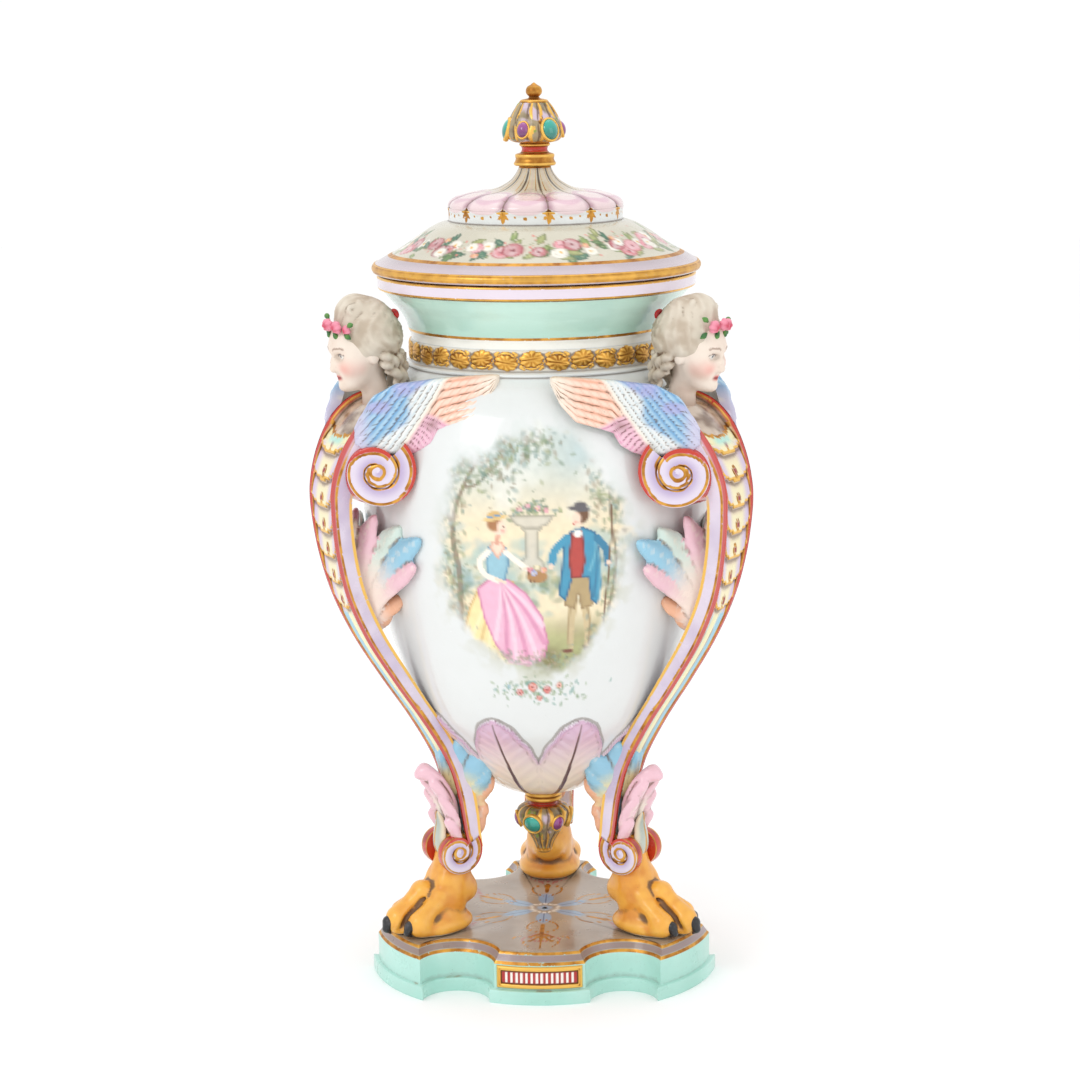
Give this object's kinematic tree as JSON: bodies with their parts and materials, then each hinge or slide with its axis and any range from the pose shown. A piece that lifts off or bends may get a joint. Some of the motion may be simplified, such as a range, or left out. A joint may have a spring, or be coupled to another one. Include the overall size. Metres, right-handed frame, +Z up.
{
  "type": "mantel urn",
  "caption": "Lidded ovoid porcelain urn on winged bust legs with scrolls, acanthus leaves and lion paws, standing on a lobed plinth, with a jewelled finial and pendant.",
  "frame": {"origin": "on the axis of the vase, at the underside of the plinth", "axes": "+Z up along the axis of the vase, -Y towards the front between the two front legs, +X to the right seen from the front"},
  "size_m": [0.2903, 0.2752, 0.6],
  "materials": {
    "mint_glaze": "glossy",
    "white_glaze": "glossy",
    "gilt_glaze": "gilded",
    "stone_glaze": "glossy",
    "lilac_glaze": "glossy"
  },
  "bodies": {
    "root": {"plinth": "mint_glaze", "vase_body": "white_glaze", "pendant_boss": "gilt_glaze", "lid": "stone_glaze", "finial": "gilt_glaze", "leg_front_left": "lilac_glaze", "leg_front_right": "lilac_glaze", "leg_back": "lilac_glaze"}
  },
  "joints": []
}
